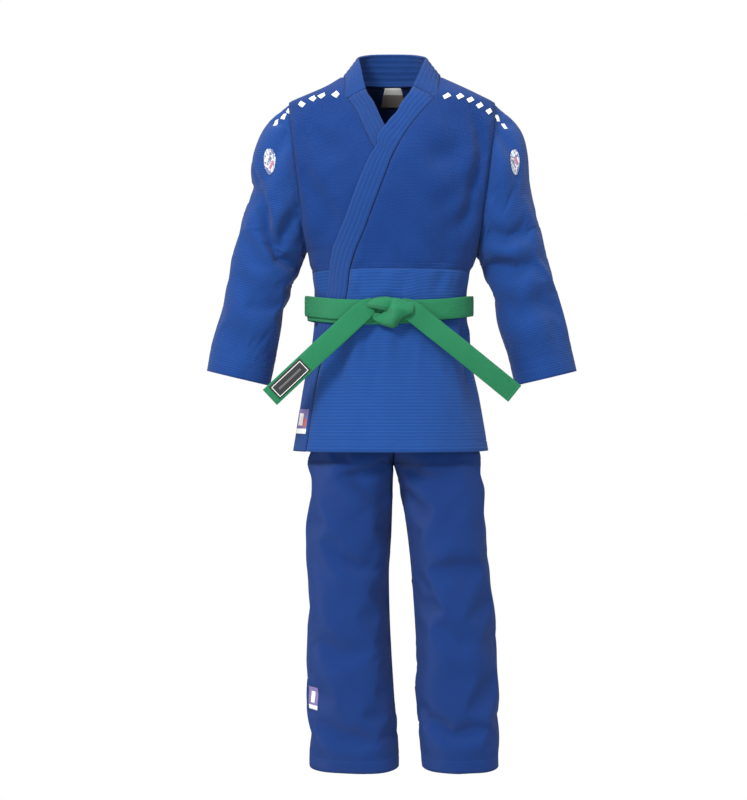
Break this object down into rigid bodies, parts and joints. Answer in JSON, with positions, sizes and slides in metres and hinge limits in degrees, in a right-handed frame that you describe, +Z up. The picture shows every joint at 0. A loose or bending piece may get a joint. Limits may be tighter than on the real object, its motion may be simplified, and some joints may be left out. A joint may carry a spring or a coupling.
{
  "type": "martial arts uniform",
  "caption": "Wrapped cotton jacket with a stitched collar band, a knotted belt and straight trousers, hanging open and hollow as worn.",
  "frame": {"origin": "middle of the neck opening, level with the two neck ends of the shoulder ridges, where a wearer or a hanger carries the jacket", "axes": "+Z up, the front faces -Y, +X is the wearer's left"},
  "size_m": [0.7376, 0.2716, 1.417],
  "materials": {
    "jacket_cotton": "matte rice-grain weave",
    "lapel_cotton": "matte stitched rows",
    "trouser_cotton": "matte twill",
    "belt_cotton": "matte, stitched lengthwise",
    "woven_patch": "woven label",
    "dark_patch": "woven label",
    "eyelet_metal": "satin"
  },
  "bodies": {
    "jacket": {"back_panel": "jacket_cotton", "front_panel_left": "jacket_cotton", "front_panel_right": "jacket_cotton", "yoke_lining": "jacket_cotton", "neck_label": "woven_patch", "skirt_back": "jacket_cotton", "skirt_front_left": "jacket_cotton", "skirt_front_right": "jacket_cotton", "lapel_left": "lapel_cotton", "lapel_right": "lapel_cotton", "neck_band": "lapel_cotton", "side_vent_patch_left": "jacket_cotton", "side_vent_patch_right": "jacket_cotton", "lapel_badge": "woven_patch", "belt_wrap_inner": "belt_cotton", "belt_wrap_outer": "belt_cotton", "belt_knot_core": "belt_cotton", "belt_knot_cross": "belt_cotton", "belt_knot_lobe": "belt_cotton"},
    "sleeve_left": {"sleeve_left": "jacket_cotton", "cuff_facing_left": "jacket_cotton", "sleeve_badge_left": "woven_patch"},
    "sleeve_right": {"sleeve_right": "jacket_cotton", "cuff_facing_right": "jacket_cotton", "sleeve_badge_right": "woven_patch"},
    "belt_end_left": {"belt_tail_left": "belt_cotton"},
    "belt_end_right": {"belt_tail_right": "belt_cotton", "belt_label": "dark_patch"},
    "trousers": {"trouser_waistband": "trouser_cotton", "drawstring_loop_left": "trouser_cotton", "drawstring_loop_right": "trouser_cotton", "drawstring_eyelet_left": "eyelet_metal", "drawstring_eyelet_right": "eyelet_metal", "trouser_seat_left": "trouser_cotton", "trouser_seat_right": "trouser_cotton"},
    "leg_left": {"trouser_leg_left": "trouser_cotton", "knee_lining_left": "trouser_cotton"},
    "leg_right": {"trouser_leg_right": "trouser_cotton", "knee_lining_right": "trouser_cotton", "trouser_badge": "woven_patch"}
  },
  "joints": [
    {"name": "sleeve_left_raise", "type": "hinge", "parent": "jacket", "child": "sleeve_left", "pos_m": [0.20697, 0, -0.04805], "axis": [0, -1, 0], "range_deg": [0, 75]},
    {"name": "sleeve_right_raise", "type": "hinge", "parent": "jacket", "child": "sleeve_right", "pos_m": [-0.20697, 0, -0.04805], "axis": [0, 1, 0], "range_deg": [0, 75]},
    {"name": "belt_end_left_swing", "type": "hinge", "parent": "jacket", "child": "belt_end_left", "pos_m": [0.025, -0.1254, -0.465], "axis": [0, -0.9945, 0.1045], "range_deg": [-25, 12]},
    {"name": "belt_end_right_swing", "type": "hinge", "parent": "jacket", "child": "belt_end_right", "pos_m": [-0.047, -0.1249, -0.465], "axis": [0, 0.9945, -0.1045], "range_deg": [-25, 12]},
    {"name": "trousers_pull_down", "type": "slide", "parent": "jacket", "child": "trousers", "axis": [0, 0, -1], "range_m": [0, 0.25]},
    {"name": "leg_left_swing", "type": "hinge", "parent": "trousers", "child": "leg_left", "pos_m": [0.092, 0, -0.76], "axis": [-1, 0, 0], "range_deg": [-20, 35]},
    {"name": "leg_right_swing", "type": "hinge", "parent": "trousers", "child": "leg_right", "pos_m": [-0.081, 0, -0.76], "axis": [-1, 0, 0], "range_deg": [-20, 35]}
  ]
}
